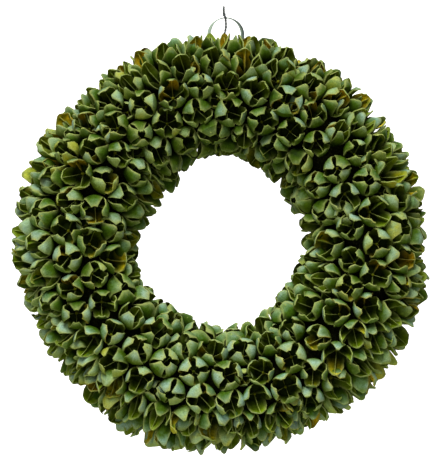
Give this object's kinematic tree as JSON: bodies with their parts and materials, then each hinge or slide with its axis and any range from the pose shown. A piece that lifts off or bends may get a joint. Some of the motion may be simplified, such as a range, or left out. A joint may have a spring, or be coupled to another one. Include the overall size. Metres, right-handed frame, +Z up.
{
  "type": "door wreath",
  "caption": "Round door wreath: dried seed pods glued all over the front and sides of a straw ring with a flat back, hung from a wire hook and a bent strip at the top.",
  "frame": {"origin": "the hook's seat, which is the lowest point inside the top of its bend", "axes": "+Z up as it hangs, -Y out of the front of the wreath, +X to a viewer's right"},
  "size_m": [0.4, 0.0886, 0.4324],
  "materials": {
    "straw": "dry bound straw, matt",
    "painted_pods": "dry woody pods under a thin matt coat of dusty green, pale at the tips",
    "painted_strip": "flat plant strip with the same matt green coat",
    "dark_wire": "dull dark wire"
  },
  "bodies": {
    "root": {"straw_ring": "straw", "pod_cluster_01": "painted_pods", "pod_cluster_02": "painted_pods", "pod_cluster_03": "painted_pods", "pod_cluster_04": "painted_pods", "pod_cluster_05": "painted_pods", "pod_cluster_06": "painted_pods", "pod_cluster_07": "painted_pods", "pod_cluster_08": "painted_pods", "pod_cluster_09": "painted_pods", "pod_cluster_10": "painted_pods", "pod_cluster_11": "painted_pods", "pod_cluster_12": "painted_pods", "hanging_band": "painted_strip", "hanging_hook": "dark_wire"}
  },
  "joints": []
}
